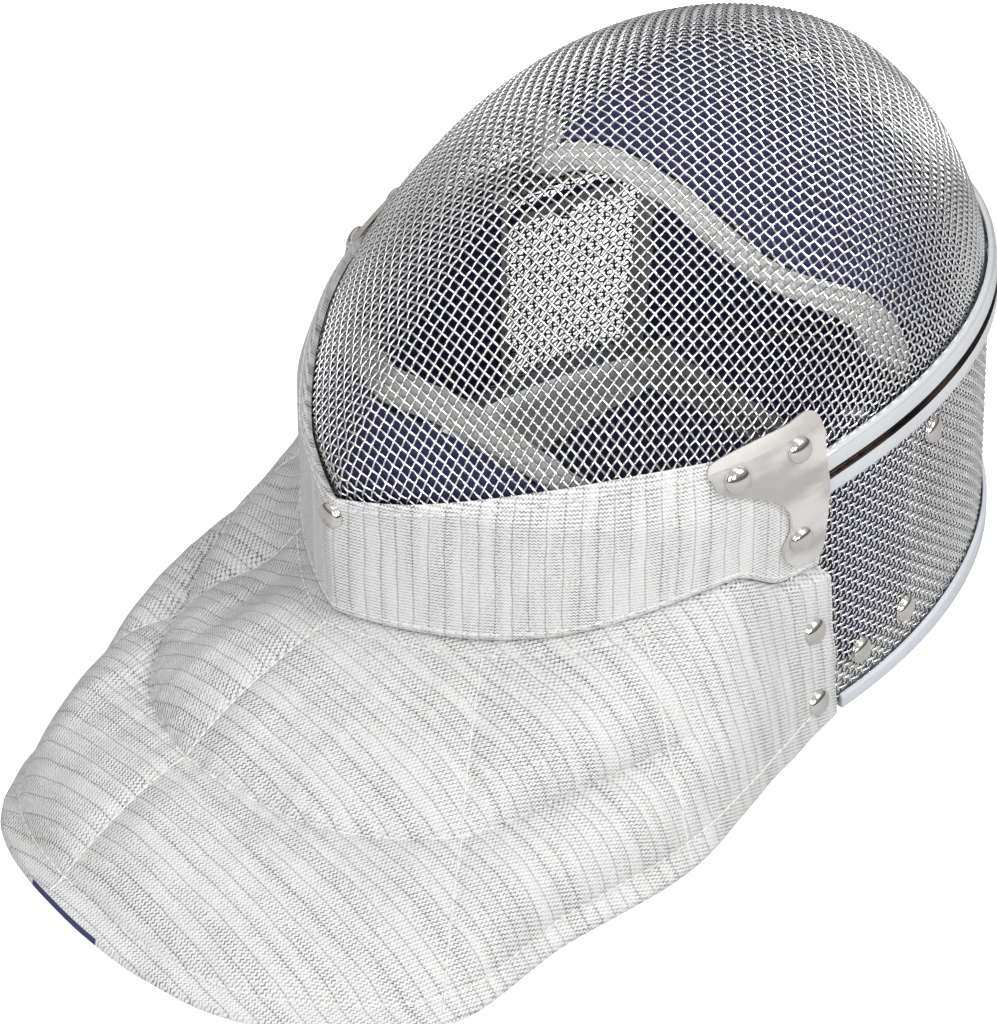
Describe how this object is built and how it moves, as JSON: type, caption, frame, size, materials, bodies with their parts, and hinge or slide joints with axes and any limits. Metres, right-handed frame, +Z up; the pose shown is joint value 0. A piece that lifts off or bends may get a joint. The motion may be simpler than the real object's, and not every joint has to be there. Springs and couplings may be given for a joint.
{
  "type": "fencing mask",
  "caption": "Fencing mask with a ridged woven steel wire face, steel side strip, bright seam band, cheek plates and a padded knit collar and bib, lying face up.",
  "frame": {"origin": "middle of the footprint, on the surface that the mask lies on", "axes": "+Z up with the face, +Y from the bib to the crown, +X to the wearer's left"},
  "size_m": [0.2359, 0.4174, 0.2095],
  "materials": {
    "wire_mesh": "bare drawn steel wire, woven",
    "bright_band": "polished, mirror bright",
    "plate_steel": "rolled stainless sheet, satin",
    "rivet": "nickel plated, domed",
    "edge_binding": "smooth pale edging",
    "knit": "pale grey conductive knit with fine ribs",
    "navy_lining": "navy velour padding",
    "lining_trim": "grey folded tape"
  },
  "bodies": {
    "root": {"bib": "knit", "bib_rivet_high_left": "rivet", "bib_rivet_high_right": "rivet", "bib_rivet_low_left": "rivet", "bib_rivet_low_right": "rivet", "chin_pad": "navy_lining", "chin_rivet": "rivet", "chin_trim": "lining_trim", "collar": "knit", "corner_plate_left": "plate_steel", "corner_plate_right": "plate_steel", "ear_pad_left": "navy_lining", "ear_pad_right": "navy_lining", "edge_binding": "edge_binding", "forehead_pad": "navy_lining", "forehead_trim": "lining_trim", "front_mesh": "wire_mesh", "plate_rivet_corner_left": "rivet", "plate_rivet_corner_right": "rivet", "plate_rivet_front_left": "rivet", "plate_rivet_front_right": "rivet", "plate_rivet_low_left": "rivet", "plate_rivet_low_right": "rivet", "rear_pad": "navy_lining", "seam_band": "bright_band", "side_mesh": "wire_mesh", "strip_rivet_front_left": "rivet", "strip_rivet_front_right": "rivet", "strip_rivet_high_left": "rivet", "strip_rivet_high_right": "rivet", "strip_rivet_low_left": "rivet", "strip_rivet_low_right": "rivet"}
  },
  "joints": []
}
